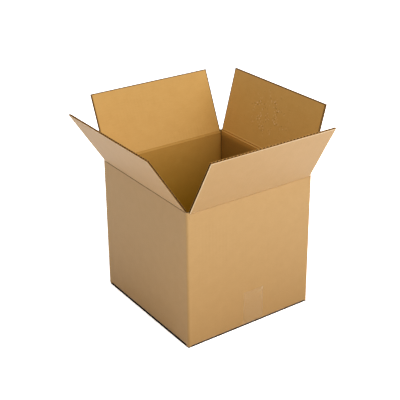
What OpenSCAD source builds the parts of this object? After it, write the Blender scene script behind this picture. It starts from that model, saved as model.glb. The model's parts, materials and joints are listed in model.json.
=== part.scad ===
// Open slotted shipping carton of single-wall corrugated board.
// One folded sheet makes the four walls, the glue tab and the bottom flaps. The four top flaps
// turn on crushed score lines and stand open. A clear tape closes the bottom seam.
// +X runs along the taped front wall, the front faces -Y and +Z is up. The origin lies on the
// underside of the tape, in the middle of the carton's base.

/* [Carton] */
// Outside width, along X
box_w = 310; // [200:1:500]
// Outside depth, along Y
box_d = 313; // [200:1:500]
// Height of the fold line of the left and right top flaps above the floor
fold_h = 301; // [150:1:500]
// Outside radius of the upright folds
corner_r = 4.5; // [3:0.5:10]
// Radius of the bead that the inner liner gathers along an inside fold
bead_r = 1.8; // [1:0.1:3]

/* [Board] */
// Thickness of the board
board_t = 4; // [3:0.1:7]
// Distance from one flute to the next
flute_pitch = 8.1; // [6:0.1:10]
// Thickness of each flat liner
liner_t = 0.45; // [0.3:0.05:0.7]
// Thickness of the waved medium, measured square to the board
medium_t = 0.5; // [0.3:0.05:0.7]

/* [Scores] */
// Thickness of the web that is left along a crushed score
web_t = 1.6; // [1.2:0.1:2]
// Length over which the outer side is crushed, on each side of the score
crush_outer = 4.2; // [4:0.1:8]
// Length over which the inner side is crushed, on each side of the score
crush_inner = 4; // [3.8:0.1:8]
// Clearance round the web's barrel in its seat
seat_gap = 0.1; // [0.05:0.01:0.2]

/* [Top flaps] */
// Length of the left and right flaps from the score to the tip
side_flap_len = 146; // [60:1:240]
// Length of the front and back flaps from the score to the tip
end_flap_len = 146; // [60:1:240]
// Distance from a top flap's side edge to the outside of the carton's corner
slot_inset = 6; // [5.5:0.1:20]
// Clearance between a flap's side edge and the board left standing at the corner
slot_gap = 0.4; // [0.3:0.1:2]
// Clearance between closed end flaps and the side flaps above them
layer_gap = 0.4; // [0.3:0.1:2]
// Length of closed board beside the score before the flutes begin
blind_len = 9; // [8:0.5:20]
// How far the left flap leans out from upright
left_lean = 33; // [0:1:90]
// How far the right flap leans out from upright
right_lean = 15; // [0:1:90]
// How far the front flap leans out from upright
front_lean = 29; // [0:1:90]
// How far the back flap leans out from upright
back_lean = 23; // [0:1:90]

/* [Bottom flaps] */
// Radius outside the folds of the bottom flaps
bottom_r = 4; // [2:0.5:6]
// Height of the front and back walls' lower folds above the underside of the outer flaps
end_fold_lift = 1; // [0.4:0.1:2]
// Clearance between the inner and the outer pair of bottom flaps
bottom_gap = 0.3; // [0.2:0.1:1]
// Distance from a bottom flap's side edge to the outside of the carton's corner
bottom_inset = 8; // [7.5:0.1:20]
// Gap between the two outer bottom flaps at the seam
seam_gap = 3; // [1:0.5:12]
// Gap between the two inner bottom flaps
inner_seam_gap = 12; // [2:1:60]
// Height of the lower end of the corner boards above the underside
corner_lift = 0.8; // [0.3:0.1:3]

/* [Glue tab] */
// Width of the glue tab from the inside of the corner
tab_w = 35; // [20:1:60]
// Thickness of the pressed glue tab
tab_t = 2.8; // [1.5:0.1:4]
// Distance of the tab's ends, at its fold, from the carton's top and underside
tab_trim = 22; // [16:1:60]
// Slope of the tab's two ends
tab_slope = 15; // [0:1:30]
// How far the raw edge of the left wall stops short of the back face
raw_short = 0.6; // [0:0.1:3]

/* [Tape] */
// Width of the tape
tape_w = 50.8; // [36:0.1:80]
// Thickness of the tape
tape_t = 0.12; // [0.08:0.01:0.3]
// Height that the tape reaches up the front wall
tape_front = 80; // [30:1:140]
// Height that the tape reaches up the back wall
tape_back = 70; // [30:1:140]
// Distance of the tape's middle from the seam, along X
tape_shift = 7.5; // [-12:0.5:12]

/* [Hidden] */
$fn = 48;

kraft_outside = [0.80, 0.64, 0.44];
kraft_flap = [0.82, 0.67, 0.49];
film_clear = [0.86, 0.76, 0.60, 0.5];

// The barrel along a score has the web's own thickness, so the turning axis lies this far in
// from the outside of the board.
axis_in = web_t / 2;
seat_r = axis_in + seat_gap;
inner_side = board_t - axis_in;
end_fold_h = fold_h - board_t - layer_gap;

// Underside of the outer bottom flaps, of the front and back walls' lower folds, and of the
// inner bottom flaps, which climb from those folds onto the outer flaps
outer_floor = tape_t;
end_floor = outer_floor + end_fold_lift;
inner_floor = outer_floor + board_t + bottom_gap;

half_w = box_w / 2;
half_d = box_d / 2;
side_flap_half = half_d - slot_inset;
end_flap_half = half_w - slot_inset;
outer_bottom_half = half_d - bottom_inset;
inner_bottom_half = half_w - bottom_inset;
// How far a cutting shape runs past what it cuts
past = 20;
// Overlap that welds the glue tab to the board it lies on
weld = 0.5;
// How far a bead's centre stands in from the corner of the boards
bead_set = 0.4;
// Flats that the tape makes round a fold
tape_steps = 6;

// A rectangle from one corner to the other
module box_between(low, high) {
    translate(low)
        cube(high - low);
}

// Half width of a channel at its liner, as a share of the pitch
channel_half = 0.44;
// Places along a channel where its outline has a point on the medium, as shares of the pitch
wave_steps = [-0.3, -0.15, 0, 0.15, 0.3];

// Middle height of the waved medium over the board at distance x from a trough
function wave_mid(x) =
    let (swing = (board_t - 2 * liner_t - medium_t) / 2)
    board_t / 2 - swing * cos(360 * x / flute_pitch);

// Points of the channel above one trough of the medium, from the board's outside
function channel_points(x0) = concat(
    [[x0 - channel_half * flute_pitch, board_t - liner_t]],
    [for (s = wave_steps) [x0 + s * flute_pitch, wave_mid(s * flute_pitch) + medium_t / 2]],
    [[x0 + channel_half * flute_pitch, board_t - liner_t]]
);

// The same channel turned over, below one crest of the medium
function turned_points(x0) = [for (p = channel_points(x0)) [p[0], board_t - p[1]]];

// Section of the board across its flutes, half_len to each side of the middle
module board_section(half_len) {
    count = floor((2 * half_len - flute_pitch) / flute_pitch);
    first = -(count - 1) * flute_pitch / 2;
    difference() {
        translate([-half_len, 0])
            square([2 * half_len, board_t]);
        for (i = [0 : count - 1])
            polygon(channel_points(first + i * flute_pitch));
        for (i = [0 : count])
            polygon(turned_points(first + (i - 0.5) * flute_pitch));
    }
}

// Section of a flap's root across the score: x from the outside of the board inwards, measured
// from the axis, and y along the flap
module root_section() {
    circle(r = axis_in);
    polygon([
        [0, 0],
        [inner_side, crush_inner],
        [inner_side, blind_len],
        [-axis_in, blind_len],
        [-axis_in, crush_outer]
    ]);
}

// Space above a wall's crushed upper edge, in the same directions as root_section
module seat_section() {
    circle(r = seat_r);
    polygon([
        [0, 0],
        [inner_side, -crush_inner],
        [inner_side + past, -crush_inner],
        [inner_side + past, past],
        [-axis_in - past, past],
        [-axis_in - past, -crush_outer],
        [-axis_in, -crush_outer]
    ]);
}

// Places a child that is drawn from the outside of a wall inwards, along the wall and up
module at_wall(turn, reach) {
    rotate([0, 0, turn])
        translate([-reach, 0, 0])
            children();
}

// Draws a section of x inwards and y up along the middle 2 * half_len of a wall
module along_wall(half_len) {
    rotate([90, 0, 0])
        translate([0, 0, -half_len])
            linear_extrude(height = 2 * half_len)
                children();
}

// A flap that stands upright, with the score's axis at the origin and its inside towards +X
module upright_flap(half_len, length) {
    along_wall(half_len)
        root_section();
    translate([-axis_in, 0, blind_len])
        linear_extrude(height = length - blind_len)
            rotate([0, 0, -90])
                board_section(half_len);
}

// A top flap on the wall at the given turn, leaning outwards from upright
module top_flap(turn, reach, height, lean, half_len, length) {
    color(kraft_flap)
        at_wall(turn, reach)
            translate([axis_in, 0, height])
                rotate([0, -lean, 0])
                    upright_flap(half_len, length);
}

// Section of the upright walls, seen from above. Three corners are folds. At the fourth the left
// wall ends in a raw edge, and the back wall's fold runs on inside it as the glue tab.
module wall_outline() {
    low_x = half_w - corner_r;
    low_y = half_d - corner_r;
    tab_fold_x = -half_w + board_t + corner_r;
    translate([-half_w, -low_y])
        square([2 * half_w, 2 * low_y]);
    translate([-low_x, -half_d])
        square([2 * low_x, half_d]);
    translate([tab_fold_x, 0])
        square([low_x - tab_fold_x, half_d]);
    translate([-half_w, 0])
        square([board_t, half_d - raw_short]);
    for (corner = [[-low_x, -low_y], [low_x, -low_y], [low_x, low_y], [tab_fold_x, low_y]])
        translate(corner)
            circle(r = corner_r);
}

module wall_section() {
    inner_w = half_w - board_t;
    inner_d = half_d - board_t;
    difference() {
        wall_outline();
        translate([-inner_w, -inner_d])
            square([2 * inner_w, 2 * inner_d]);
    }
    for (corner = [[-inner_w, -inner_d], [inner_w, -inner_d], [inner_w, inner_d]])
        translate(corner * (1 - bead_set / norm(corner)))
            circle(r = bead_r);
}

// The pressed tab that is glued to the inside of the left wall, with sloped ends
module glue_tab() {
    low = outer_floor + tab_trim;
    high = fold_h - tab_trim;
    drop = tab_w * tan(tab_slope);
    translate([-half_w + board_t - weld, half_d - board_t + weld, 0])
        rotate([90, 0, 90])
            linear_extrude(height = tab_t + weld)
                polygon([
                    [0, low],
                    [0, high],
                    [-tab_w, high - drop],
                    [-tab_w, low + drop]
                ]);
}

// Section of a bottom fold and its flap: x inwards from the wall's outside and y up from the
// fold's underside. The flap climbs by rise before it passes over the edge of the flap below.
module fold_section(length, rise) {
    climbed = bottom_inset - slot_gap;
    slope = atan2(rise, climbed - bottom_r);
    top_climbed = max(board_t, climbed - board_t * tan(slope / 2));
    inside = board_t + rise - (top_climbed - board_t) * tan(slope);
    intersection() {
        translate([bottom_r, bottom_r])
            circle(r = bottom_r);
        square([bottom_r, bottom_r]);
    }
    translate([0, bottom_r])
        square([board_t, bottom_r]);
    polygon([
        [bottom_r, 0],
        [climbed, rise],
        [length, rise],
        [length, rise + board_t],
        [top_climbed, rise + board_t],
        [board_t, inside],
        [0, bottom_r]
    ]);
    translate([board_t + bead_set, inside + bead_set])
        circle(r = bead_r);
}

// A wall's lower fold with its bottom flap, on the underside at height low
module bottom_flap(turn, reach, low, half_len, length, rise) {
    at_wall(turn, reach)
        translate([0, 0, low])
            along_wall(half_len)
                fold_section(length, rise);
}

// What a bottom fold takes away from the straight walls
module bottom_room(turn, reach, low, half_len) {
    at_wall(turn, reach)
        box_between(
            [-past, -half_len - slot_gap, low - past],
            [board_t + past, half_len + slot_gap, low + bottom_r]
        );
}

// What a score and its flap take away from the top of a wall
module score_room(turn, reach, height, half_len) {
    at_wall(turn, reach)
        translate([axis_in, 0, height])
            along_wall(half_len + slot_gap)
                seat_section();
}

module carton_shell() {
    color(kraft_outside)
        difference() {
            union() {
                difference() {
                    translate([0, 0, outer_floor + corner_lift])
                        linear_extrude(height = fold_h - outer_floor - corner_lift)
                            wall_section();
                    for (turn = [0, 180])
                        bottom_room(turn, half_w, outer_floor, outer_bottom_half);
                    for (turn = [90, -90])
                        bottom_room(turn, half_d, end_floor, inner_bottom_half);
                }
                glue_tab();
                for (turn = [0, 180])
                    bottom_flap(
                        turn, half_w, outer_floor, outer_bottom_half, half_w - seam_gap / 2, 0
                    );
                for (turn = [90, -90])
                    bottom_flap(
                        turn, half_d, end_floor, inner_bottom_half, half_d - inner_seam_gap / 2,
                        inner_floor - end_floor
                    );
            }
            for (turn = [0, 180])
                score_room(turn, half_w, fold_h, side_flap_half);
            for (turn = [90, -90])
                score_room(turn, half_d, end_fold_h, end_flap_half);
        }
}

module flap_left() {
    top_flap(0, half_w, fold_h, left_lean, side_flap_half, side_flap_len);
}

module flap_right() {
    top_flap(180, half_w, fold_h, right_lean, side_flap_half, side_flap_len);
}

module flap_front() {
    top_flap(90, half_d, end_fold_h, front_lean, end_flap_half, end_flap_len);
}

module flap_back() {
    top_flap(-90, half_d, end_fold_h, back_lean, end_flap_half, end_flap_len);
}

// Line of the tape in section, half of it: x outwards from the middle and y up. It leaves the edge
// of the outer flaps, bridges to the fold of the end wall, rounds it and climbs to rise. off is
// the distance from the board.
function half_tape(rise, off) =
    let (
        edge = [outer_bottom_half, outer_floor],
        centre = [half_d - bottom_r, end_floor + bottom_r],
        away = norm(centre - edge),
        climb = atan2(centre[1] - edge[1], centre[0] - edge[0]) - asin(bottom_r / away),
        step = (90 - climb) / tape_steps,
        round_r = bottom_r + off
    )
    concat(
        [edge + off * [tan(climb / 2), -1]],
        [centre + round_r * [sin(climb), -cos(climb)]],
        [
            for (i = [0.5 : tape_steps])
                centre + round_r / cos(step / 2)
                    * [sin(climb + i * step), -cos(climb + i * step)]
        ],
        [[half_d + off, centre[1]], [half_d + off, rise]]
    );

function from_last(list) = [for (i = [len(list) - 1 : -1 : 0]) list[i]];

function tape_line(off) = concat(
    [for (p = from_last(half_tape(tape_front, off))) [-p[0], p[1]]],
    half_tape(tape_back, off)
);

module closure_tape() {
    color(film_clear)
        translate([tape_shift - tape_w / 2, 0, 0])
            rotate([90, 0, 90])
                linear_extrude(height = tape_w)
                    polygon(concat(tape_line(0), from_last(tape_line(tape_t))));
}

carton_shell();
flap_left();
flap_right();
flap_front();
flap_back();
closure_tape();
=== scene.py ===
"""Looks of an open shipping carton of single-wall corrugated board.

The carton is made as a box plant makes it: a flat blank is cut and creased, and then folded.
Each mesh is first laid out flat, with x along the blank, y up the blank and z through the board
from the outer liner inwards. Blank.fold then brings every point to its place on the carton.
"""

import bisect
import json
import logging
import math
from collections.abc import Callable
from dataclasses import dataclass
from enum import IntEnum

import bmesh
import bpy
from bpy.types import ID, Material, Node, NodeSocket, NodeTree, Object, World
from mathutils import Matrix, Vector, noise


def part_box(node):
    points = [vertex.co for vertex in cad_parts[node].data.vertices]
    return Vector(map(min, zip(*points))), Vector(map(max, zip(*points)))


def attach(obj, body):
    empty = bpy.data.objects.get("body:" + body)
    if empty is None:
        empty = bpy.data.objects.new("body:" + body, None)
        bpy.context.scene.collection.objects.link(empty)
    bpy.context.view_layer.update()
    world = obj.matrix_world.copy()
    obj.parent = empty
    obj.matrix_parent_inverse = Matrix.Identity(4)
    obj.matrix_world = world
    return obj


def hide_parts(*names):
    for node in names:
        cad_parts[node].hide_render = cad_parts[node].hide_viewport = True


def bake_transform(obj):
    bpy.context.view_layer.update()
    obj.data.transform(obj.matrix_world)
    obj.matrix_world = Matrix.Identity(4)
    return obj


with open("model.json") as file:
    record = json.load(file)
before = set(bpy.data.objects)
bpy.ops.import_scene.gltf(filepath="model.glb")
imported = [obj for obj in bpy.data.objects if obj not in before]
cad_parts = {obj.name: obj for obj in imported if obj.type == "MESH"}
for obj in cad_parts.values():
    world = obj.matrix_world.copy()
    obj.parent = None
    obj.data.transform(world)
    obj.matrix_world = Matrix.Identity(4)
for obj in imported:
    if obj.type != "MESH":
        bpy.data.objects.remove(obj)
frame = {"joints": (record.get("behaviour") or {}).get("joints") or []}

LOG = logging.getLogger("carton")
MM = 0.001
QUARTER = math.pi / 2
# A smaller difference than this is rounding
ROUNDING = 1e-6
Pair = tuple[float, float]
Triple = tuple[float, float, float]


class Finish(IntEnum):
    """Material slots of a piece of board, in order."""

    OUTER = 0
    INNER = 1
    CUT = 2
    MEDIUM = 3


def smooth(share: float) -> float:
    """Eases from 0 at share 0 to 1 at share 1."""
    share = min(1.0, max(0.0, share))
    return share * share * (3 - 2 * share)


def spread(low: float, high: float, step: float) -> list[float]:
    """Gives evenly spaced places from low to high.

    Args:
        low: First place.
        high: Last place.
        step: Greatest distance between two places.

    Returns:
        The places, both ends included.
    """
    count = max(1, math.ceil((high - low) / step - ROUNDING))
    return [low + (high - low) * i / count for i in range(count + 1)]


def merged(fixed: list[float], free: list[float], least: float) -> list[float]:
    """Joins two lists of places and drops free places that crowd others.

    Args:
        fixed: Places that have to stay.
        free: Places that may be dropped.
        least: Least distance between a free place and any other.

    Returns:
        The places that are kept, in order.
    """
    kept = sorted(set(fixed))
    for place in sorted(free):
        at = bisect.bisect(kept, place)
        near = kept[max(0, at - 1):at + 1]
        if all(abs(place - other) >= least for other in near):
            kept.insert(at, place)
    return kept


@dataclass(frozen=True)
class Board:
    """Single-wall C-flute board."""

    thickness: float = 4 * MM
    pitch: float = 8.1 * MM
    liner: float = 0.45 * MM
    medium: float = 0.5 * MM

    @property
    def swing(self) -> float:
        """How far the medium waves to each side of the board's middle."""
        return (self.thickness - 2 * self.liner - self.medium) / 2

    def wave(self, x: float) -> float:
        """Depth of the middle of the waved medium at a place along the blank."""
        return self.thickness / 2 - self.swing * math.cos(2 * math.pi * x / self.pitch)

    def add_flutes(self, tree: NodeTree, along: NodeSocket) -> Node:
        """Adds nodes that give 1 where the medium meets the outer liner and -1 at the inner one."""
        turns = add_node(tree, "Math", (along, 2 * math.pi / self.pitch), operation="MULTIPLY")
        return add_node(tree, "Math", (turns,), operation="COSINE")


@dataclass(frozen=True)
class Crease:
    """The line that a scoring wheel presses into the board so that it folds there."""

    groove: float = 0.9 * MM
    floor: float = 0.9 * MM
    reach: float = 3.2 * MM
    bead: float = 0.8 * MM
    bead_width: float = 0.8 * MM
    shoulder: float = 0.0
    pinch: float = 0.0
    pinch_width: float = 0.8 * MM
    # Distances from the crease, in mm, where a mesh needs an edge
    steps: tuple[float, ...] = (0, 0.35, 0.7, 1.05, 1.4, 1.8, 2.3, 2.9, 3.5, 4.2, 5)

    def inner(self, d: float) -> float:
        """How far the inner liner is pressed in, at distance d from the crease."""
        fall = 1 - smooth((abs(d) - self.floor) / (self.reach - self.floor))
        return self.groove * fall - self.bead * math.exp(-((abs(d) - self.shoulder) / self.bead_width) ** 2)

    def outer(self, d: float) -> float:
        """How far the outer liner is pinched in, at distance d from the crease."""
        return self.pinch * math.exp(-(d / self.pinch_width) ** 2)

    def stations(self, centre: float) -> list[float]:
        """Places of the edges that the crease needs, on both sides of its centre."""
        return [centre + side * step * MM for side in (-1, 1) for step in self.steps]


@dataclass(frozen=True)
class Panel:
    """One upright wall of the blank, with the measures of its two flaps.

    Heights are above the floor, and places along the wall count from its middle.
    """

    name: str
    turn: float
    reach: float
    first: float
    last: float
    start: float
    half_flap: float = 0.0
    half_bottom: float = 0.0
    top: float = 0.0
    low: float = 0.0
    rise: float = 0.0
    bottom_len: float = 0.0
    flap_len: float = 0.0
    lean: float = 0.0
    bulge: float = 0.0
    pinch: float = 1.0
    press: float = 1.0

    @property
    def end(self) -> float:
        """Place along the blank where the fold after this wall begins."""
        return self.start + self.last - self.first

    def blank_x(self, along: float) -> float:
        """Place along the blank of a place along the wall."""
        return self.start + along - self.first

    def along(self, x: float) -> float:
        """Place along the wall of a place along the blank."""
        return self.first + x - self.start


@dataclass
class Blank:
    """The flat sheet of the carton and the way it folds.

    A top flap is a mesh of its own from a strip below its crease. At rest it leans over the rest
    zone on both sides of the crease. The left wall's raw edge stops a little short of the corner,
    where the glue tab comes round.
    """

    board: Board = Board()
    corner_r: float = 4.5 * MM
    bottom_r: float = 4 * MM
    slot_inset: float = 6 * MM
    bottom_inset: float = 8 * MM
    slot_gap: float = 0.4 * MM
    strip: float = 10 * MM
    rest_zone: float = 2.2 * MM
    bend_zone: float = 5 * MM
    tape_t: float = 0.12 * MM
    end_fold_lift: float = 1.5 * MM
    side_fold_lift: float = 3.5 * MM
    sag_run: float = 50 * MM
    bottom_gap: float = 0.3 * MM
    seam_gap: float = 3 * MM
    inner_seam_gap: float = 12 * MM
    corner_lift: float = 2 * MM
    raw_short: float = 0.6 * MM
    tab_len: float = 34 * MM
    tab_t: float = 2.8 * MM
    tab_trim: float = 22 * MM
    tab_slope: float = math.radians(15)
    flap_len: float = 146 * MM
    leans: tuple[float, ...] = (33, 29, 15, 23)
    bulges: tuple[float, ...] = (0.5 * MM, 0.4 * MM, -0.5 * MM, 0.5 * MM)
    pinches: tuple[float, ...] = (2.2, 1.4, 1.0, 1.0)
    presses: tuple[float, ...] = (1.0, 1.0, 1.0, 0.4)
    flap_ripple: float = 0.15 * MM
    flap_ripple_size: float = 70 * MM
    wall_ripple: float = 0.35 * MM
    wall_ripple_size: float = 90 * MM
    swell_gain: float = 1.6
    upright: Crease = Crease(groove=3 * MM, floor=1.2 * MM, reach=3.2 * MM, bead=0.0)
    lower: Crease = Crease()
    upper: Crease = Crease(
        groove=1.1 * MM, floor=0.4 * MM, reach=2.4 * MM, bead=0.7 * MM, shoulder=2.3 * MM, pinch=0.9 * MM,
    )

    def __post_init__(self) -> None:
        """Takes the carton's size from the frame and lines the walls up along the blank."""
        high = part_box("carton_shell")[1]
        self.half_w = high.x
        self.half_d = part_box("flap_left")[1].y + self.slot_inset
        self.fold_h = high.z
        anchors = {j["name"].split("_")[0]: Vector(j["pos_m"]) for j in frame["joints"]}
        self.axis_in = self.half_w + anchors["left"].x
        self.panels: list[Panel] = []
        start = 0.0
        for i, name in enumerate(("left", "front", "right", "back")):
            side = i % 2 == 0
            reach, half = (self.half_w, self.half_d) if side else (self.half_d, self.half_w)
            first, last = self.corner_r - half, half - self.corner_r
            if name == "left":
                first = self.raw_short - half
            if name == "back":
                last -= self.board.thickness
            lift = self.side_fold_lift if side else self.end_fold_lift
            rise = -lift if side else self.board.thickness + self.bottom_gap - lift
            seam = self.seam_gap if side else self.inner_seam_gap
            panel = Panel(
                name=name, turn=i * QUARTER, reach=reach, first=first, last=last, start=start,
                half_flap=half - self.slot_inset, half_bottom=half - self.bottom_inset,
                top=anchors[name].z, low=self.tape_t + lift, rise=rise,
                bottom_len=reach - seam / 2, flap_len=self.flap_len,
                lean=math.radians(self.leans[i]), bulge=self.bulges[i],
                pinch=self.pinches[i], press=self.presses[i],
            )
            self.panels.append(panel)
            start = panel.end + QUARTER * self.corner_r
        self.folds = [panel.end + QUARTER * self.corner_r / 2 for panel in self.panels]
        first = self.corner_r - self.half_d
        self.tab = Panel(
            name="tab", turn=4 * QUARTER, reach=self.half_w - self.board.thickness,
            first=first, last=first + self.tab_len, start=start,
        )
        self.panels.append(self.tab)
        self.starts = [panel.start for panel in self.panels]

    def panel_at(self, x: float) -> Panel:
        """The wall that a place along the blank belongs to, with the fold that ends it."""
        return self.panels[max(0, bisect.bisect(self.starts, x + ROUNDING) - 1)]

    @property
    def climb_run(self) -> float:
        """Length over which an inner bottom flap climbs onto the outer ones."""
        return self.bottom_inset - self.slot_gap - self.bottom_r

    def bend_start(self, panel: Panel) -> float:
        """Height at which the wall begins to bend under."""
        return panel.low + self.bottom_r

    def on_flap(self, panel: Panel, along: float, y: float) -> bool:
        """Whether a place of the wall lies within the width of its nearer flap."""
        half = panel.half_flap if y > panel.top / 2 else panel.half_bottom
        return abs(along) <= half + self.slot_gap / 4

    def crease_depths(self, x: float, y: float) -> Pair:
        """How far the creases press the liners in at a place on the blank.

        Args:
            x: The place along the blank.
            y: The place up the blank.

        Returns:
            The depths of the outer and of the inner liner.
        """
        panel = self.panel_at(x)
        outer = 0.0
        inner = max((self.upright.inner(x - fold) for fold in self.folds), key=abs)
        if panel.half_flap and self.on_flap(panel, panel.along(x), y):
            fold = self.bend_start(panel) - QUARTER * self.bottom_r / 2
            pressed = panel.press * self.upper.inner(y - panel.top)
            inner = max(inner, self.lower.inner(y - fold), pressed, key=abs)
            outer = panel.pinch * self.upper.outer(y - panel.top)
        if panel is self.tab:
            pressed = smooth((x - panel.start) / self.slot_inset)
            inner = max(inner, (self.board.thickness - self.tab_t) * pressed)
        return outer, inner

    def swell(self, panel: Panel, along: float, y: float) -> float:
        """How far a wall stands in from flat, because board is never quite flat.

        Args:
            panel: The wall.
            along: The place along the wall.
            y: The place up the blank.

        Returns:
            The distance, which is negative where the wall bulges.
        """
        if not panel.half_flap:
            return 0.0
        place = Vector((along, y, panel.turn))
        if y > panel.top:
            rise = smooth((y - panel.top - self.strip) / (panel.flap_len / 2))
            return self.flap_ripple * rise * noise.noise(place / self.flap_ripple_size)
        share = (y - panel.low - self.strip) / (panel.top - panel.low - 2 * self.strip)
        if not 0 < share < 1 or abs(along) > panel.half_flap:
            return 0.0
        window = math.cos(QUARTER * along / panel.half_flap) * math.sin(math.pi * share)
        ripple = self.wall_ripple * noise.noise(place / self.wall_ripple_size)
        return (ripple - panel.bulge) * smooth(self.swell_gain * window)

    def depth(self, flat: Vector) -> float:
        """Depth below the carton's flat outer face of a point of the blank.

        Args:
            flat: The point on the flat blank, with z from 0 on the outer liner to the board's
                thickness on the inner one.

        Returns:
            The depth once creases, swell and the pressed tab are counted.
        """
        outer, inner = self.crease_depths(flat.x, flat.y)
        thick, liner = self.board.thickness, self.board.liner
        if flat.z <= liner:
            depth = outer + flat.z
        elif flat.z >= thick - liner:
            depth = flat.z - inner
        else:
            share = (flat.z - liner) / (thick - 2 * liner)
            depth = outer + liner + share * (thick - 2 * liner - outer - inner)
        panel = self.panel_at(flat.x)
        return depth + self.swell(panel, panel.along(flat.x), flat.y)

    def stand(self, panel: Panel, flat: Vector, inward: float, along: float) -> Pair:
        """Folds a point of a wall's section, seen from the side.

        Args:
            panel: The wall.
            flat: The point on the flat blank.
            inward: Its depth in the board.
            along: Its place along the wall.

        Returns:
            Distance inwards from the wall's outer face, and height above the floor.
        """
        bend = self.bend_start(panel)
        if not panel.half_flap or not self.on_flap(panel, along, flat.y):
            return inward, flat.y
        if flat.y < bend:
            angle = min((bend - flat.y) / self.bottom_r, QUARTER)
            rest = bend - flat.y - angle * self.bottom_r
            radius = self.bottom_r - inward
            climb = panel.rise * smooth(rest / (self.climb_run if panel.rise > 0 else self.sag_run))
            return self.bottom_r - radius * math.cos(angle) + rest, bend - radius * math.sin(angle) + climb
        share = (flat.y - panel.top + self.rest_zone) / (2 * self.rest_zone)
        angle = panel.lean * smooth(share)
        turned = Matrix.Rotation(angle, 2) @ Vector((inward - self.axis_in, flat.y - panel.top))
        return turned.x + self.axis_in, turned.y + panel.top

    def fold(self, flat: Vector) -> Vector:
        """Brings a point of the flat blank to its place on the standing carton.

        Args:
            flat: The point on the flat blank.

        Returns:
            Its place in the carton's frame.
        """
        panel = self.panel_at(flat.x)
        along = panel.along(flat.x)
        inward, height = self.stand(panel, flat, self.depth(flat), along)
        upright = self.bend_start(panel) <= flat.y < panel.top - self.strip
        on_wall = upright or not self.on_flap(panel, along, flat.y)
        if along > panel.last and panel is not self.tab and on_wall:
            angle = (along - panel.last) / self.corner_r
            radius = self.corner_r - inward
            along = panel.last + radius * math.sin(angle)
            inward = self.corner_r - radius * math.cos(angle)
        return Matrix.Rotation(panel.turn, 3, "Z") @ Vector((inward - panel.reach, -along, height))


def add_object(name: str, data: ID) -> Object:
    """Adds an object to the scene, at the origin.

    Args:
        name: Name of the object.
        data: The mesh, lamp or camera that it shows.

    Returns:
        The new object.
    """
    obj = bpy.data.objects.new(name, data)
    bpy.context.scene.collection.objects.link(obj)
    return obj


def add_mesh(name: str, bm: bmesh.types.BMesh, materials: list[Material]) -> Object:
    """Turns a bmesh into an object, and frees it.

    Args:
        name: Name of the object.
        bm: The mesh.
        materials: Its materials, in slot order.

    Returns:
        The new object.
    """
    mesh = bpy.data.meshes.new(name)
    bm.to_mesh(mesh)
    bm.free()
    for material in materials:
        mesh.materials.append(material)
    return add_object(name, mesh)


@dataclass
class SheetMesh:
    """A mesh that is laid out flat, given a thickness, and then folded."""

    name: str
    sharp: float = math.radians(50)

    def __post_init__(self) -> None:
        """Starts an empty mesh that keeps each point's flat place and its shares of painted light and
        painted shade.
        """
        self.bm = bmesh.new()
        self.flat = self.bm.verts.layers.float_vector.new("flat")
        self.painted_light_and_shade = self.bm.verts.layers.float.new("painted_light_and_shade")
        self.crease_shade = self.bm.verts.layers.float.new("crease_shade")

    def lay(self, columns: list[float], rows: list[float], finish: Finish) -> list[bmesh.types.BMFace]:
        """Lays a flat sheet with an edge at each given place.

        Args:
            columns: Places along the blank.
            rows: Places up the blank.
            finish: Material slot of the sheet.

        Returns:
            The sheet's faces.
        """
        across, up = len(columns) - 1, len(rows) - 1
        before = set(self.bm.faces)
        # The grid is 1 wide and high round the origin, so a point's share tells its column and row
        made = bmesh.ops.create_grid(self.bm, x_segments=across, y_segments=up, size=0.5)
        for vert in made["verts"]:
            column, row = round((vert.co.x + 0.5) * across), round((vert.co.y + 0.5) * up)
            vert.co = Vector((columns[column], rows[row], 0))
        faces = [face for face in self.bm.faces if face not in before]
        for face in faces:
            face.material_index = finish
        return faces

    def thicken(self, faces: list[bmesh.types.BMFace], thickness: float, inner: Finish) -> None:
        """Extrudes a flat sheet through the board and gives its sides the cut finish.

        Args:
            faces: The sheet's faces.
            thickness: How far it is extruded.
            inner: Material slot of the new side.
        """
        before = set(self.bm.faces)
        made = bmesh.ops.extrude_face_region(self.bm, geom=faces)
        verts = [item for item in made["geom"] if isinstance(item, bmesh.types.BMVert)]
        tops = {item for item in made["geom"] if isinstance(item, bmesh.types.BMFace)}
        bmesh.ops.translate(self.bm, verts=verts, vec=(0, 0, thickness))
        for face in self.bm.faces:
            if face in tops:
                face.material_index = inner
            elif face not in before:
                face.material_index = Finish.CUT

    def finish(self, place: Callable[[Vector], Vector], materials: list[Material]) -> Object:
        """Folds the mesh and makes it an object.

        Args:
            place: Brings a flat point to its place on the carton.
            materials: The finishes, in slot order.

        Returns:
            The new object.
        """
        for vert in self.bm.verts:
            vert[self.flat] = vert.co
            vert.co = place(vert.co)
        bmesh.ops.recalc_face_normals(self.bm, faces=self.bm.faces[:])
        for face in self.bm.faces:
            face.smooth = True
        for edge in self.bm.edges:
            kinds = {face.material_index for face in edge.link_faces}
            edge.smooth = len(kinds) == 1 and edge.calc_face_angle(0) < self.sharp
        return add_mesh(self.name, self.bm, materials)


def srgb(code: str) -> tuple[float, float, float, float]:
    """Turns a colour linear.

    Args:
        code: The sRGB colour in hex, such as "C89E66".

    Returns:
        The linear colour, with full alpha.
    """
    parts = [int(code[i:i + 2], 16) / 255 for i in (0, 2, 4)]
    linear = [p / 12.92 if p <= 0.04045 else ((p + 0.055) / 1.055) ** 2.4 for p in parts]
    return (*linear, 1.0)


def empty_tree(owner: Material | World) -> NodeTree:
    """Empties the node tree of a material or a world.

    Args:
        owner: The material or world.

    Returns:
        Its node tree.
    """
    owner.use_nodes = True
    owner.node_tree.nodes.clear()
    return owner.node_tree


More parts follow.
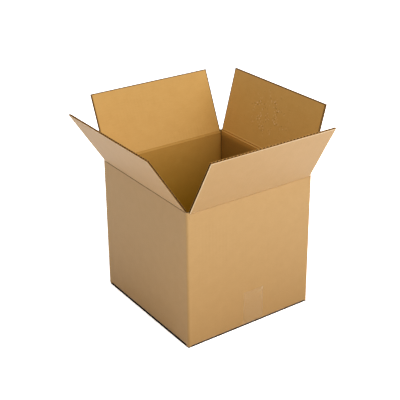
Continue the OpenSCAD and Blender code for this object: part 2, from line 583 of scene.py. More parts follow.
def add_node(tree: NodeTree, kind: str, links: dict | tuple = (), **settings) -> Node:
    """Adds a shader node with its settings and links.

    Args:
        tree: The node tree.
        kind: The node's type name, without the ShaderNode that it begins with.
        links: For each input, in order or else by name or number, a node or a socket to link or a
            value to set. A node stands for the first of its outputs that is in use.
        **settings: Properties of the node.

    Returns:
        The new node.
    """
    node = tree.nodes.new(f"ShaderNode{kind}")
    for name, value in settings.items():
        setattr(node, name, value)
    for key, value in links.items() if isinstance(links, dict) else enumerate(links):
        if isinstance(value, Node):
            value = next(socket for socket in value.outputs if socket.enabled)
        if isinstance(value, NodeSocket):
            tree.links.new(value, node.inputs[key])
        else:
            node.inputs[key].default_value = value
    return node


@dataclass(frozen=True)
class Surface:
    """A material of one shader, whose inputs each kind of surface works out."""

    name: str

    def add_inputs(self, tree: NodeTree) -> dict[str, object]:
        """Adds the nodes that feed the shader, and gives its inputs by name."""
        raise NotImplementedError

    def build(self) -> Material:
        """Makes the material.

        Returns:
            The new material.
        """
        material = bpy.data.materials.new(self.name)
        tree = empty_tree(material)
        shader = add_node(tree, "BsdfPrincipled", self.add_inputs(tree))
        add_node(tree, "OutputMaterial", (shader,))
        return material


@dataclass(frozen=True)
class KraftLiner(Surface):
    """Unbleached kraft linerboard, made on a paper machine and glued over the flutes.

    The pulp's long fibres lie mostly across the flutes and its formation is cloudy, which gives
    the eye a soft mottle, fine streaks and a few dark flecks. The glue lines of the flutes print
    through as a faint washboard. The calendered surface has a low sheen at a grazing view. Along
    a cut edge the outer liner is painted lighter as a highlight and the inner liner darker. The
    inner liner also has painted shade in the upright folds and on the right wall, and the outer
    one in a deep crease. Painted shade darkens the liner towards the floor, and painted light
    makes it paler and bluer on the top flaps.
    """

    tone: str
    shade: str
    fleck: str
    # Tone and share painted along cut edges, in the upright folds and on the right wall: a painted
    # highlight on the outer liner, a darker band and painted shade on the inner one
    light_and_shade_tone: str
    light_and_shade_share: float = 0.95
    # Tone of the painted shade in a deep crease
    crease_shade_tone: str = "6E5232"
    roughness: float = 0.52
    roughness_swing: float = 0.05
    sheen: float = 0.5
    cloud: float = 22 * MM
    fibre: float = 1.6 * MM
    fibre_length: float = 7.0
    fibre_height: float = 0.05 * MM
    mottle_span: Pair = (0.75, 1.25)
    fleck_scale: float = 1.7
    fleck_span: Pair = (0.70, 0.76)
    fleck_share: float = 0.45
    board: Board = Board()
    washboard: float = 0.022 * MM
    scuff_at: Pair | None = None
    scuff_size: Pair = (75 * MM, 58 * MM)
    scuff_edge: float = 0.6
    scuff_grain: float = 4 * MM
    scuff_clump: float = 17 * MM
    clump_span: Pair = (0.46, 0.56)
    # Noise levels at which a kind of speck begins and is full, and its tone
    specks: tuple[tuple[float, float, str], ...] = ((0.60, 0.65, "F0CC90"), (0.36, 0.32, "7E5418"))
    speck_share: float = 0.7
    # Painted shade towards the floor, and painted light on the top flaps
    painted_low_shade: Triple = (0.95, 0.90, 0.80)
    painted_low_shade_span: Pair = (30 * MM, 240 * MM)
    painted_flap_light: Triple = (1.04, 1.05, 1.14)
    painted_flap_light_span: Pair = (294 * MM, 302 * MM)

    def add_inputs(self, tree: NodeTree) -> dict[str, object]:
        """Adds the nodes of the paper's colour, grain and washboard.

        Args:
            tree: The material's node tree.

        Returns:
            The shader's inputs by name.
        """
        flat = add_node(tree, "Attribute", attribute_name="flat").outputs["Vector"]
        painted_light_and_shade = add_node(tree, "Attribute", attribute_name="painted_light_and_shade").outputs["Fac"]
        crease_shade = add_node(tree, "Attribute", attribute_name="crease_shade").outputs["Fac"]
        along, up, _ = add_node(tree, "SeparateXYZ", (flat,)).outputs
        clouds = add_node(tree, "TexNoise", {
            "Vector": flat, "Scale": 1 / self.cloud, "Detail": 5.0, "Roughness": 0.6,
        })
        fibres = add_node(tree, "Mapping", {
            "Vector": flat, "Scale": (1 / (self.fibre * self.fibre_length), 1 / self.fibre, 1 / self.fibre),
        })
        streaks = add_node(tree, "TexNoise", {
            "Vector": fibres, "Scale": 1.0, "Detail": 4.0, "Roughness": 0.65,
        })
        formation = add_node(tree, "Math", (clouds, streaks), operation="ADD")
        mottle = add_node(tree, "MapRange", (formation, *self.mottle_span))
        dirt = add_node(tree, "TexNoise", {"Vector": fibres, "Scale": self.fleck_scale, "Detail": 2.0})
        flecks = add_node(tree, "MapRange", (dirt, *self.fleck_span, 0.0, self.fleck_share))
        colour = srgb(self.shade)
        for share, tone in ((mottle, self.tone), (flecks, self.fleck), *self.add_scuff(tree, flat)):
            # Sockets of a colour mix are found by number, because the names repeat per data type
            colour = add_node(tree, "Mix", {0: share, 6: colour, 7: srgb(tone)}, data_type="RGBA")
        colour = self.add_painted_light_and_shade(tree, up, colour)
        # Painted light and shade: a highlight along the outer liner's cut edges; on the inner liner a
        # darker band along cut edges and shade in the upright folds and on the right wall; then painted
        # shade in a deep crease
        painted_band = add_node(tree, "Math", (painted_light_and_shade, self.light_and_shade_share), operation="MULTIPLY")
        for share, tone in ((painted_band, self.light_and_shade_tone), (crease_shade, self.crease_shade_tone)):
            colour = add_node(tree, "Mix", {0: share, 6: colour, 7: srgb(tone)}, data_type="RGBA")
        flutes = self.board.add_flutes(tree, along)
        waves = add_node(tree, "Math", (flutes, self.washboard), operation="MULTIPLY")
        grain = add_node(tree, "Math", (streaks, self.fibre_height, waves), operation="MULTIPLY_ADD")
        low, high = self.roughness - self.roughness_swing, self.roughness + self.roughness_swing
        return {
            "Base Color": colour,
            "Roughness": add_node(tree, "MapRange", (streaks, 0.0, 1.0, low, high)),
            "IOR": 1.5,
            "Specular IOR Level": self.sheen,
            "Normal": add_node(tree, "Bump", {"Strength": 1.0, "Distance": 1.0, "Height": grain}),
        }

    def add_painted_light_and_shade(self, tree: NodeTree, height: NodeSocket, colour: Node) -> Node:
        """Paints shade on the liner towards the floor and paints light on the top flaps, paler and bluer.

        Args:
            tree: The material's node tree.
            height: The place up the flat blank.
            colour: The liner's colour.

        Returns:
            The tinted colour.
        """
        plain = (1.0, 1.0, 1.0)
        for (start, end), low, high in (
            (self.painted_low_shade_span, self.painted_low_shade, plain), (self.painted_flap_light_span, plain, self.painted_flap_light),
        ):
            # A vector's sockets of a map range are found by number, because the names repeat
            painted_factor = add_node(tree, "MapRange", {
                6: height, 7: (start,) * 3, 8: (end,) * 3, 9: low, 10: high,
            }, data_type="FLOAT_VECTOR")
            colour = add_node(tree, "VectorMath", (colour, painted_factor), operation="MULTIPLY")
        return colour

    def add_scuff(self, tree: NodeTree, flat: NodeSocket) -> list[tuple[Node, str]]:
        """Scatters clumps of light and dark specks over an oval patch, if the liner has one.

        Args:
            tree: The material's node tree.
            flat: The place on the flat blank.

        Returns:
            The specks as coats of colour.
        """
        if not self.scuff_at:
            return []
        wide, high = self.scuff_size
        away = add_node(tree, "VectorMath", (flat, (*self.scuff_at, 0)), operation="SUBTRACT")
        share = add_node(tree, "VectorMath", (away, (1 / wide, 1 / high, 0)), operation="MULTIPLY")
        reach = add_node(tree, "VectorMath", (share,), operation="LENGTH")
        patch = add_node(tree, "MapRange", (reach, self.scuff_edge, 1.0, 1.0, 0.0))
        clumps, dots = (
            add_node(tree, "TexNoise", {"Vector": flat, "Scale": 1 / size, "Detail": 1.0})
            for size in (self.scuff_clump, self.scuff_grain)
        )
        clumped = add_node(tree, "MapRange", (clumps, *self.clump_span, 0.0, patch))
        coats = []
        for begin, full, tone in self.specks:
            speck = add_node(tree, "MapRange", (dots, begin, full, 0.0, self.speck_share))
            shown = add_node(tree, "Math", (speck, clumped), operation="MULTIPLY")
            coats.append((shown, tone))
        return coats


# The shader's inputs that rough uncoated paper has wherever it is cut
RAW_PAPER = {"Roughness": 0.9, "IOR": 1.5, "Specular IOR Level": 0.15}


@dataclass(frozen=True)
class CutBoard(Surface):
    """The cut edge of the board, sheared by a steel rule.

    The two liners and the waved medium show as pale lines of torn fibre round the flute channels, whose
    dark tone is painted shade.
    """

    board: Board = Board()
    paper: str = "C9A672"
    painted_channel_shade: str = "4A3015"
    medium_span: Pair = (0.3 * MM, 0.55 * MM)
    liner_blur: float = 0.1 * MM
    paper_height: float = 0.6 * MM
    fray_height: float = 0.2 * MM
    fray_scale: float = 900.0

    def add_inputs(self, tree: NodeTree) -> dict[str, object]:
        """Adds the nodes that draw the board's section from the flat place.

        Args:
            tree: The material's node tree.

        Returns:
            The shader's inputs by name.
        """
        board, middle = self.board, self.board.thickness / 2
        flat = add_node(tree, "Attribute", attribute_name="flat").outputs["Vector"]
        along, _, deep = add_node(tree, "SeparateXYZ", (flat,)).outputs
        flutes = board.add_flutes(tree, along)
        wave = add_node(tree, "Math", (flutes, -board.swing, middle), operation="MULTIPLY_ADD")
        edge = middle - board.liner
        lines = []
        for centre, span in (
            (wave, (*self.medium_span, 1.0, 0.0)),
            (middle, (edge - self.liner_blur, edge + self.liner_blur, 0.0, 1.0)),
        ):
            off = add_node(tree, "Math", (deep, centre), operation="SUBTRACT")
            away = add_node(tree, "Math", (off,), operation="ABSOLUTE")
            lines.append(add_node(tree, "MapRange", (away, *span)))
        paper = add_node(tree, "Math", tuple(lines), operation="MAXIMUM")
        # The dark tone of the flute channels is painted shade
        tones = {0: paper, 6: srgb(self.painted_channel_shade), 7: srgb(self.paper)}
        fray = add_node(tree, "TexNoise", {"Vector": flat, "Scale": self.fray_scale, "Detail": 3.0})
        height = add_node(tree, "Math", (paper, self.paper_height), operation="MULTIPLY")
        frayed = add_node(tree, "Math", (fray, self.fray_height, height), operation="MULTIPLY_ADD")
        return {
            **RAW_PAPER,
            "Base Color": add_node(tree, "Mix", tones, data_type="RGBA"),
            "Normal": add_node(tree, "Bump", {"Strength": 1.0, "Distance": 1.0, "Height": frayed}),
        }


@dataclass(frozen=True)
class TornPaper(Surface):
    """Paper seen on its cut or rough side: the waved medium and the liners' cut edges.

    It is uncoated and full of broken fibre, so it is matt and a little fuzzy.
    """

    tone: str
    shade: str
    grain: float = 0.8 * MM
    fuzz_height: float = 0.1 * MM

    def add_inputs(self, tree: NodeTree) -> dict[str, object]:
        """Adds the nodes of the fuzz.

        Args:
            tree: The material's node tree.

        Returns:
            The shader's inputs by name.
        """
        flat = add_node(tree, "Attribute", attribute_name="flat").outputs["Vector"]
        fuzz = add_node(tree, "TexNoise", {
            "Vector": flat, "Scale": 1 / self.grain, "Detail": 4.0, "Roughness": 0.7,
        })
        bump = add_node(tree, "Bump", {"Strength": 0.6, "Distance": self.fuzz_height, "Height": fuzz})
        tones = {0: fuzz, 6: srgb(self.shade), 7: srgb(self.tone)}
        colour = add_node(tree, "Mix", tones, data_type="RGBA")
        return {**RAW_PAPER, "Base Color": colour, "Normal": bump}


@dataclass(frozen=True)
class PackingFilm(Surface):
    """Clear polypropylene packing tape, drawn film with an acrylic adhesive.

    The film is smooth and glossy, and the thin milky adhesive lifts the colour of the board
    under it a little. Where a wrinkle lifts the film off, its colour is painted whitish, a
    painted highlight on the wrinkle together with the milky look of lifted film.
    It lets nearly all light through, so it casts no shadow on the board, and it is hazy only
    where it is seen from outside.
    """

    name: str = "clear_packing_film"
    haze: str = "D8AE78"
    lifted_film_highlight: str = "F2D4A2"
    haziness: Pair = (0.35, 0.8)
    roughness: Pair = (0.25, 0.35)
    wave_scale: float = 120.0
    wave_height: float = 0.05 * MM

    def add_inputs(self, tree: NodeTree) -> dict[str, object]:
        """Adds the nodes of the film's haze, waves and wrinkles.

        Args:
            tree: The material's node tree.

        Returns:
            The shader's inputs by name.
        """
        place = add_node(tree, "TexCoord").outputs["Object"]
        lifted = add_node(tree, "Attribute", attribute_name="painted_light_and_shade").outputs["Fac"]
        waves = add_node(tree, "TexNoise", {"Vector": place, "Scale": self.wave_scale, "Detail": 2.0})
        hazy = add_node(tree, "MapRange", (lifted, 0.0, 1.0, *self.haziness))
        path = add_node(tree, "LightPath").outputs
        clear = add_node(tree, "NewGeometry").outputs["Backfacing"]
        for kind in ("Is Shadow Ray", "Is Diffuse Ray"):
            clear = add_node(tree, "Math", (clear, path[kind]), operation="MAXIMUM")
        # Lifted film is painted whitish: a painted highlight on the wrinkle together with the milky look of
        # lifted film
        tones = {0: lifted, 6: srgb(self.haze), 7: srgb(self.lifted_film_highlight)}
        return {
            "Base Color": add_node(tree, "Mix", tones, data_type="RGBA"),
            "Roughness": add_node(tree, "MapRange", (waves, 0.0, 1.0, *self.roughness)),
            "IOR": 1.49,
            "Alpha": add_node(tree, "Mix", {0: clear, 2: hazy, 3: 0.0}),
            "Normal": add_node(tree, "Bump", {
                "Strength": 0.2, "Distance": self.wave_height, "Height": waves,
            }),
        }


@dataclass
class CartonBoard:
    """The folded sheet: walls with their glued corner, bottom flaps, and the four top flaps."""

    blank: Blank
    column_step: float = 14 * MM
    tab_step: float = 6 * MM
    least_column: float = 0.15 * MM
    row_step: float = 13 * MM
    climb_step: float = 0.9 * MM
    sag_step: float = 4 * MM
    least_row: float = 0.3 * MM
    wall_span: Pair = (24 * MM, 270 * MM)
    bottom_margin: float = 12 * MM
    flap_step: float = 9 * MM
    flap_margins: Pair = (8 * MM, 6 * MM)
    least_flap_row: float = 0.2 * MM
    least_flap_column: float = 0.8 * MM
    cells_per_flute: int = 3
    wave_cells_per_flute: int = 12
    jitter: float = 0.12 * MM
    jitter_size: float = 4 * MM
    rim_width: float = 2.6 * MM
    rim_fade: float = 1 * MM
    # Width of the painted shade in the upright folds, and share and run of the painted shade on the right
    # wall's inside
    fold_shade: float = 2.6 * MM
    wall_shade: float = 0.58
    shade_run: float = 16 * MM
    # Width of the painted shade in a crease, and the pinch from which it shows
    crease_shade_width: float = 1.3 * MM
    shaded_pinch: float = 1.2
    # Place of the scuffed patch on the right flap, from its middle and from its crease
    scuff: Pair = (6 * MM, 78 * MM)

    def __post_init__(self) -> None:
        """Makes the finishes."""
        # The outer liner's light edge tone is a painted highlight
        outside = KraftLiner(
            "kraft_liner_outside", tone="CEA265", shade="C99D5F", fleck="A9814A", light_and_shade_tone="FADFB4",
        )
        right = self.blank.panels[2]
        # The inner liner's dark edge tone paints shade in the upright folds and on the right wall and
        # darkens its cut edges; its low-side tone paints shade deep in the carton, and its flap tone paints
        # light on the flaps
        inside = KraftLiner(
            "kraft_liner_inside", tone="D4A350", shade="CF9D4A", fleck="A87B38", light_and_shade_tone="5A3906",
            scuff_at=(right.blank_x(self.scuff[0]), right.top + self.scuff[1]), sheen=0.3,
            painted_low_shade=(0.70, 0.68, 0.18), painted_low_shade_span=(140 * MM, 305 * MM), painted_flap_light=(1.03, 1.05, 1.22),
        )
        liners = [outside.build(), inside.build()]
        self.solid = liners + [CutBoard("cut_board_edge", self.blank.board).build()]
        self.layered = liners + [
            TornPaper("cut_liner_edge", "DEAC66", "B9833E").build(),
            # The medium's dark tone is partly its own brown and partly painted shade down the flute
            # channels
            TornPaper("fluting_medium", "46290A", "301A04").build(),
        ]

    def shell_columns(self) -> list[float]:
        """Chooses where the shell has edges along the blank.

        Returns:
            The places, in order.
        """
        blank = self.blank
        fixed, free = [blank.tab.start, blank.tab.end], []
        for panel, fold in zip(blank.panels, blank.folds):
            fixed += [panel.start, panel.end]
            for half in (panel.half_flap, panel.half_bottom):
                for slot in (half, half + blank.slot_gap):
                    fixed += [panel.blank_x(-slot), panel.blank_x(slot)]
            free += [panel.blank_x(a) for a in spread(-panel.half_flap, panel.half_flap, self.column_step)]
            free += blank.upright.stations(fold)
        free += spread(blank.tab.start, blank.tab.end, self.tab_step)
        return merged(fixed, free, self.least_column)

    def shell_rows(self) -> list[float]:
        """Chooses where the shell has edges up the blank.

        Returns:
            The places, in order.
        """
        blank = self.blank
        fixed = [blank.fold_h, blank.tape_t + blank.corner_lift, *self.tab_limits()]
        free = spread(*self.wall_span, self.row_step)
        for panel in blank.panels[:2]:
            bend = blank.bend_start(panel)
            level = bend - QUARTER * blank.bottom_r
            fixed += [self.flap_end(panel), bend, panel.top - blank.strip]
            free += blank.lower.stations(bend - QUARTER * blank.bottom_r / 2)
            free += spread(level - blank.climb_run, level, self.climb_step)
            free += spread(level - blank.sag_run, level, self.sag_step)
            free += spread(self.flap_end(panel), panel.low - self.bottom_margin, self.row_step)
        return merged(fixed, free, self.least_row)

    def flap_end(self, panel: Panel) -> float:
        """Place up the blank where a wall's bottom flap ends."""
        radius = self.blank.bottom_r
        return self.blank.bend_start(panel) - QUARTER * radius - (panel.bottom_len - radius)

    def tab_limits(self) -> Pair:
        """Places up the blank of the lower and upper end of the glue tab's fold."""
        blank = self.blank
        return blank.tape_t + blank.tab_trim, blank.fold_h - blank.tab_trim

    def is_cut_away(self, face: bmesh.types.BMFace) -> bool:
        """Tells whether a face of the uncut sheet falls in a slot or outside the blank.

        Args:
            face: A face of the flat sheet.

        Returns:
            Whether the face is waste.
        """
        blank = self.blank
        centre = face.calc_center_median()
        panel = blank.panel_at(centre.x)
        along = abs(panel.along(centre.x))
        if panel is blank.tab:
            low, high = self.tab_limits()
            return not low < centre.y < high
        if centre.y > panel.top / 2:
            return along < panel.half_flap + blank.slot_gap and centre.y > panel.top - blank.strip
        if along < panel.half_bottom:
            return centre.y < self.flap_end(panel)
        if along < panel.half_bottom + blank.slot_gap:
            return centre.y < blank.bend_start(panel)
        return centre.y < blank.tape_t + blank.corner_lift

    def slope_tab(self, sheet: SheetMesh) -> None:
        """Slopes both ends of the glue tab.

        Args:
            sheet: The flat shell.
        """
        blank = self.blank
        low, high = self.tab_limits()
        for vert in sheet.bm.verts:
            run = vert.co.x - blank.tab.start
            if run > 0:
                drop = run * math.tan(blank.tab_slope)
                vert.co.y = min(max(vert.co.y, low + drop), high - drop)

    def build_shell(self) -> Object:
        """Makes the walls, the glue tab and the bottom flaps as one folded sheet.

        Returns:
            The finished piece.
        """
        sheet = SheetMesh("carton_walls_and_bottom")
        faces = sheet.lay(self.shell_columns(), self.shell_rows(), Finish.OUTER)
        waste = [face for face in faces if self.is_cut_away(face)]
        bmesh.ops.delete(sheet.bm, geom=waste, context="FACES")
        self.slope_tab(sheet)
        sheet.thicken(sheet.bm.faces[:], self.blank.board.thickness, Finish.INNER)
        self.shade_folds(sheet)
        obj = sheet.finish(self.blank.fold, self.solid)
        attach(obj, "carton")
        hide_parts("carton_shell")
        return obj

    def right_wall_painted_shade(self, flat: Vector) -> float:
        """How much painted shade the inner liner has on the right wall, whose inside lies in the carton's
        shade.

        Args:
            flat: The point on the flat blank.

        Returns:
            The share of the darker tone.
        """
        right = self.blank.panels[2]
        if self.blank.panel_at(flat.x) is not right or flat.z < self.blank.board.thickness / 2:
            return 0.0
        return self.wall_shade * smooth((right.top - self.blank.rest_zone - flat.y) / self.shade_run)

    def shade_folds(self, sheet: SheetMesh) -> None:
        """Paints shade on the inner liner along the upright folds, where the inside corners are in shade,
        and on the right wall.

        Args:
            sheet: The flat shell.
        """
        for vert in sheet.bm.verts:
            if vert.co.z > 0:
                away = min(abs(vert.co.x - fold) for fold in self.blank.folds)
                # Painted shade in the upright folds and on the right wall
                vert[sheet.painted_light_and_shade] = max(1 - smooth(away / self.fold_shade - 1), self.right_wall_painted_shade(vert.co))

    def flap_rows(self, panel: Panel) -> list[float]:
        """Chooses where a top flap has edges up the blank.

        Args:
            panel: The wall that carries it.

        Returns:
            The places, in order.
        """
        blank = self.blank
        low, high = panel.top - blank.strip, panel.top + panel.flap_len
        root, tip = self.flap_margins
        free = blank.upper.stations(panel.top) + spread(panel.top + root, high - tip, self.flap_step)
        painted_band = high - self.rim_width
        return merged([low, high, painted_band + self.rim_fade, painted_band], free, self.least_flap_row)

    def lay_flap(self, panel: Panel) -> SheetMesh:
        """Lays out one flat top flap of two liners and a waved medium.

        Args:
            panel: The wall that carries it.

        Returns:
            The flap, from below its crease to its tip.
        """
        board = self.blank.board
        sheet = SheetMesh(f"{panel.name}_top_flap_board")
        rows = self.flap_rows(panel)
        low, high = panel.blank_x(-panel.half_flap), panel.blank_x(panel.half_flap)
        inset = (0, self.rim_width - self.rim_fade, self.rim_width)
        edges = [low + i for i in inset] + [high - i for i in inset]
        cells = spread(low, high, board.pitch / self.cells_per_flute)
        columns = merged(edges, cells, self.least_flap_column)
        sheet.thicken(sheet.lay(columns, rows, Finish.OUTER), board.liner, Finish.CUT)
        faces = sheet.lay(columns, rows, Finish.MEDIUM)
        verts = {vert for face in faces for vert in face.verts}
        bmesh.ops.translate(sheet.bm, verts=list(verts), vec=(0, 0, board.thickness - board.liner))
        sheet.thicken(faces, board.liner, Finish.INNER)
        faces = sheet.lay(spread(low, high, board.pitch / self.wave_cells_per_flute), rows, Finish.CUT)
        for vert in {vert for face in faces for vert in face.verts}:
            vert.co.z = board.wave(vert.co.x) - board.medium / 2
        sheet.thicken(faces, board.medium, Finish.MEDIUM)
        self.fray(sheet, low, high, rows[-1])
        self.paint_crease_shade(sheet, panel)
        return sheet

    def build_flap(self, panel: Panel) -> Object:
        """Makes a top flap that leans out from its wall, folded along the crease.

        Args:
            panel: The wall that carries it.

        Returns:
            The finished piece.
        """
        blank = self.blank
        obj = self.lay_flap(panel).finish(blank.fold, self.layered)
        middle = panel.blank_x(0)
        ends = [Vector((middle, panel.top + side * blank.bend_zone, blank.axis_in)) for side in (-1, 1)]
        start, end = (blank.fold(end) for end in ends)
        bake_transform(obj)
        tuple(start)
        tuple(end)
        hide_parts(f"flap_{panel.name}")
        return obj

    def fray(self, sheet: SheetMesh, low: float, high: float, tip: float) -> None:
        """Paints a highlight along a flap's outer cut edges and a darker band along its inner ones, carries
        the right wall's painted shade into the strip below the crease, and leaves the edges a little
        uneven, as a steel rule does.

        Args:
            sheet: The flat flap.
            low: Place along the blank of its first side edge.
            high: Place along the blank of its other side edge.
            tip: Place up the blank of its tip.
        """
        for vert in sheet.bm.verts:
            swing = noise.noise(vert.co / self.jitter_size) * self.jitter
            inside = min(tip - vert.co.y, vert.co.x - low, high - vert.co.x)
            # The right wall's painted shade runs into the strip below the crease; near the cut edges the
            # flap gets its painted highlight outside and darker band inside
            vert[sheet.painted_light_and_shade] = self.right_wall_painted_shade(vert.co)
            if vert.co.y > tip - self.blank.flap_len:
                vert[sheet.painted_light_and_shade] = min(1.0, max(0.0, (self.rim_width - inside) / self.rim_fade))
            if abs(vert.co.y - tip) < ROUNDING:
                vert.co.y -= abs(swing)
            if min(abs(vert.co.x - low), abs(vert.co.x - high)) < ROUNDING:
                vert.co.x += math.copysign(abs(swing), (low + high) / 2 - vert.co.x)

    def paint_crease_shade(self, sheet: SheetMesh, panel: Panel) -> None:
        """Paints shade on the outer liner in the valley of a flap's crease, where it is pinched deep.

        Args:
            sheet: The flat flap.
            panel: The wall that carries it.
        """
        for vert in sheet.bm.verts:
            if vert.co.z == 0:
                away = (vert.co.y - panel.top) / self.crease_shade_width
                # Painted shade in the crease valley
                vert[sheet.crease_shade] = smooth(panel.pinch - self.shaded_pinch) * math.exp(-away ** 2)

    def build(self) -> list[Object]:
        """Makes the shell and the four top flaps."""
        return [self.build_shell()] + [self.build_flap(panel) for panel in self.blank.panels[:4]]


@dataclass
class SeamTape:
    """The strip of clear tape along the bottom seam and up the front and the back wall."""

    blank: Blank
    width: float = 50.8 * MM
    shift: float = 7.5 * MM
    front_rise: float = 80 * MM
    back_rise: float = 70 * MM
    off: float = 0.03 * MM
    wall_off: float = 0.08 * MM
    film: float = 0.07 * MM
    cell: float = 1.1 * MM
    back_cell: float = 3.3 * MM
    bend_cell: float = 0.7 * MM
    bottom_cell: float = 12 * MM
    # Start and end of each wrinkle, in mm from the front end's upper right corner
    wrinkles: tuple[tuple[Pair, ...], ...] = (
        ((-15, -13), (-1, -0.5)), ((-13, -26), (-2, -20)),
    )
    wrinkle: float = 0.3 * MM
    wrinkle_width: float = 0.7 * MM
    wrinkle_gain: float = 2.5

    def __post_init__(self) -> None:
        """Works out the line that the tape follows from the seam to a wall."""
        blank = self.blank
        self.edge = blank.panels[0].half_bottom
        self.centre_y = blank.half_d - blank.bottom_r
        self.centre_z = blank.bend_start(blank.panels[1])
        away = Vector((self.centre_y - self.edge, self.centre_z - blank.tape_t))
        self.climb = math.atan2(away.y, away.x) - math.asin(blank.bottom_r / away.length)
        self.slope_len = math.sqrt(away.length_squared - blank.bottom_r ** 2)
        self.arc_len = (QUARTER - self.climb) * blank.bottom_r

    def half_line(self, run: float, off: float) -> Pair:
        """Follows the tape from the middle of the bottom outwards.

        Args:
            run: Distance along the board from the middle.
            off: Distance of the point from the board.

        Returns:
            Distance from the middle, and height.
        """
        blank = self.blank
        if run <= self.edge:
            return run, blank.tape_t - off
        run -= self.edge
        side = Vector((math.sin(self.climb), -math.cos(self.climb)))
        if run <= self.slope_len:
            share = run / self.slope_len
            way = Vector((math.cos(self.climb), math.sin(self.climb))) * run
            place = Vector((self.edge, blank.tape_t)) + way + side * off * share
            return place.x, place.y - off * (1 - share)
        run -= self.slope_len
        if run <= self.arc_len:
            angle = self.climb + run / blank.bottom_r
            radius = blank.bottom_r + off
            return self.centre_y + radius * math.sin(angle), self.centre_z - radius * math.cos(angle)
        return blank.half_d + off, self.centre_z + run - self.arc_len

    def lift(self, across: float, height: float) -> float:
        """How far the film stands off the front wall in its wrinkles.

        Args:
            across: Place across the tape, from its middle.
            height: Height above the floor.

        Returns:
            The distance.
        """
        place = Vector((across - self.width / 2, height - self.front_rise))
        total = 0.0
        for start, end in self.wrinkles:
            begin = Vector(start) * MM
            way = Vector(end) * MM - begin
            share = (place - begin).dot(way) / way.length_squared
            if 0 < share < 1:
                aside = (place - begin - way * share).length
                fade = math.exp(-(aside / self.wrinkle_width) ** 2)
                total += self.wrinkle * smooth(self.wrinkle_gain * share) * fade
        return total

    def place(self, flat: Vector) -> Vector:
        """Brings a point of the flat tape to its place round the carton.

        Args:
            flat: The point, with x across the tape, y along it from the middle of the bottom, and
                z off the board.

        Returns:
            Its place in the carton's frame.
        """
        blank = self.blank
        front = flat.y < 0
        far, height = self.half_line(abs(flat.y), self.off + flat.z)
        if front and height > blank.strip:
            far += self.lift(flat.x - self.shift, height)
        if height > self.centre_z:
            wall, along = (blank.panels[1], flat.x) if front else (blank.panels[3], -flat.x)
            far += self.wall_off * smooth((height - self.centre_z) / blank.strip)
            far -= blank.swell(wall, along, height)
        return Vector((flat.x, math.copysign(far, flat.y), height))

    def rows(self) -> list[float]:
        """Chooses where the tape has edges along its length.

        Returns:
            The places, from the front end to the back end.
        """
        slope_end = self.edge + self.slope_len
        arc_end = slope_end + self.arc_len
        places = spread(0, self.edge, self.bottom_cell) + spread(slope_end, arc_end, self.bend_cell)
        front, back = (
            places + spread(arc_end, arc_end + rise - self.centre_z, cell)
            for rise, cell in ((self.front_rise, self.cell), (self.back_rise, self.back_cell))
        )
        return sorted({-place for place in front} | set(back))

    def build(self) -> Object:
        """Makes the tape as one thin film.

        Returns:
            The finished piece.
        """
        sheet = SheetMesh("bottom_seam_tape")
        columns = spread(self.shift - self.width / 2, self.shift + self.width / 2, self.cell)
        faces = sheet.lay(columns, self.rows(), Finish.OUTER)
        for vert in sheet.bm.verts:
            height = self.half_line(-vert.co.y, 0)[1] if vert.co.y < 0 else 0.0
            # Share of each point's wrinkle lift, which paints a highlight on the film
            vert[sheet.painted_light_and_shade] = min(1.0, self.lift(vert.co.x - self.shift, height) / self.wrinkle)
        sheet.thicken(faces, self.film, Finish.OUTER)
        for face in sheet.bm.faces:
            face.material_index = Finish.OUTER
        obj = sheet.finish(self.place, [PackingFilm().build()])
        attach(obj, "carton")
        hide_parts("closure_tape")
        return obj


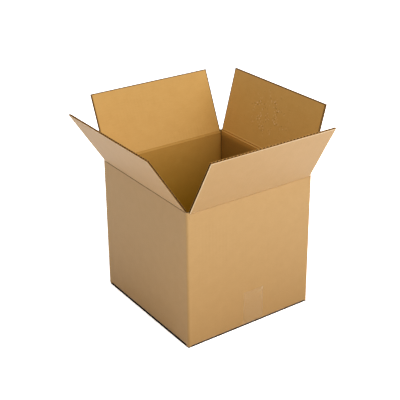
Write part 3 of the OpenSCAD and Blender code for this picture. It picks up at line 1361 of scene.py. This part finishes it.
@dataclass
class Studio:
    """Camera, lamps, white surroundings and floor."""

    yaw: float = math.radians(-34.81)
    pitch: float = math.radians(23.20)
    roll: float = math.radians(-0.45)
    distance: float = 1.925
    target: Triple = (-0.0149, 0.0, 0.3200)
    focal_px: float = 931.0
    rise: float = -0.10
    picture_px: float = 400.0
    sensor: float = 36.0
    # Name, place and size in metres, and power in watts of each lamp
    lamps: tuple[tuple[str, Triple, float, float], ...] = (
        ("key", (0.83, -2.05, 1.75), 1.6, 35.5), ("top", (-0.6, -0.3, 2.8), 1.2, 16.8),
    )
    lamp_aim: Triple = (0, 0, 0.2)
    ambient: float = 0.42
    floor_size: float = 6.0
    # Painted shade on the floor towards the carton, and painted shadow under its footprint
    floor_painted_shade_span: Pair = (0.2, 0.8)
    floor_painted_shade_tones: Pair = (0.22, 0.95)
    floor_painted_shadow: float = 0.03
    floor_gloss: float = 2.4
    floor_white: float = 3.4

    def build_camera(self) -> None:
        """Sets the camera at the photograph's viewing angle."""
        data = bpy.data.cameras.new("view")
        data.sensor_width = self.sensor
        data.lens = self.sensor * self.focal_px / self.picture_px
        data.shift_y = self.rise
        camera = add_object("view", data)
        back = Vector((
            math.sin(self.yaw) * math.cos(self.pitch),
            -math.cos(self.yaw) * math.cos(self.pitch),
            math.sin(self.pitch),
        ))
        camera.location = Vector(self.target) + back * self.distance
        level = (-back).to_track_quat("-Z", "Y").to_matrix()
        camera.rotation_euler = (level @ Matrix.Rotation(self.roll, 3, "Z")).to_euler()
        bpy.context.scene.camera = camera

    def build_lamps(self) -> None:
        """Hangs square soft boxes that face the carton."""
        for name, place, size, power in self.lamps:
            data = bpy.data.lights.new(name, "AREA")
            data.shape = "SQUARE"
            data.size = size
            data.energy = power
            lamp = add_object(name, data)
            lamp.location = place
            away = Vector(place) - Vector(self.lamp_aim)
            lamp.rotation_euler = away.to_track_quat("Z", "Y").to_euler()

    def build_world(self) -> None:
        """Surrounds the scene with a plain light that looks white to the camera and in gloss."""
        world = bpy.data.worlds.new("surroundings")
        tree = empty_tree(world)
        path = add_node(tree, "LightPath").outputs
        seen = path["Is Camera Ray"]
        for kind in ("Is Glossy Ray", "Is Transmission Ray"):
            seen = add_node(tree, "Math", (seen, path[kind]), operation="MAXIMUM")
        lights = [add_node(tree, "Background", (srgb("FFFFFF"), power)) for power in (self.ambient, 1.0)]
        both = add_node(tree, "MixShader", (seen, *lights))
        add_node(tree, "OutputWorld", (both,))
        bpy.context.scene.world = world

    def build_floor(self) -> None:
        """Lays a pale floor that keeps the carton's shadow and looks white to the camera, with painted
        shade darker towards the carton and a painted near-black shadow under it.
        """
        material = bpy.data.materials.new("white_floor")
        tree = empty_tree(material)
        path = add_node(tree, "LightPath").outputs
        place = add_node(tree, "TexCoord").outputs["Object"]
        away = add_node(tree, "VectorMath", (place,), operation="LENGTH")
        # The floor's tone is painted shade, darker towards the carton, for the light it bounces onto the
        # carton
        tone = add_node(tree, "MapRange", (away, *self.floor_painted_shade_span, *self.floor_painted_shade_tones),
                        interpolation_type="SMOOTHSTEP")
        sides = add_node(tree, "SeparateXYZ", (place,)).outputs
        # Under the carton's footprint the floor is painted near black, a painted shadow
        past = []
        for side, reach in zip(sides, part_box("carton_shell")[1].xy):
            size = add_node(tree, "Math", (side,), operation="ABSOLUTE")
            past.append(add_node(tree, "Math", (size, reach), operation="GREATER_THAN"))
        clear = add_node(tree, "Math", tuple(past), operation="MAXIMUM")
        seen = add_node(tree, "Math", (path["Is Camera Ray"], clear), operation="MULTIPLY")
        shown = self.floor_painted_shadow
        for share, light in (
            (clear, tone), (path["Is Glossy Ray"], self.floor_gloss), (seen, self.floor_white),
        ):
            shown = add_node(tree, "Mix", {0: share, 2: shown, 3: light})
        add_node(tree, "OutputMaterial", (add_node(tree, "BsdfDiffuse", (shown,)),))
        bm = bmesh.new()
        bmesh.ops.create_grid(bm, x_segments=1, y_segments=1, size=self.floor_size)
        add_mesh("floor", bm, [material])

    def build(self) -> None:
        """Sets up everything round the carton."""
        bpy.context.scene.view_settings.view_transform = "Standard"
        self.build_camera()
        self.build_world()
        self.build_floor()
        self.build_lamps()


def report(obj: Object) -> None:
    """Logs a finished piece with its number of triangles."""
    triangles = sum(len(polygon.vertices) - 2 for polygon in obj.data.polygons)
    LOG.info("%s: %d triangles", obj.name, triangles)


def main() -> None:
    """Builds the carton and the studio round it."""
    logging.basicConfig(level=logging.INFO)
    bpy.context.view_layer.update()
    Studio().build()
    blank = Blank()
    for piece in CartonBoard(blank).build():
        report(piece)
    report(SeamTape(blank).build())


if __name__ == "__main__":
    main()
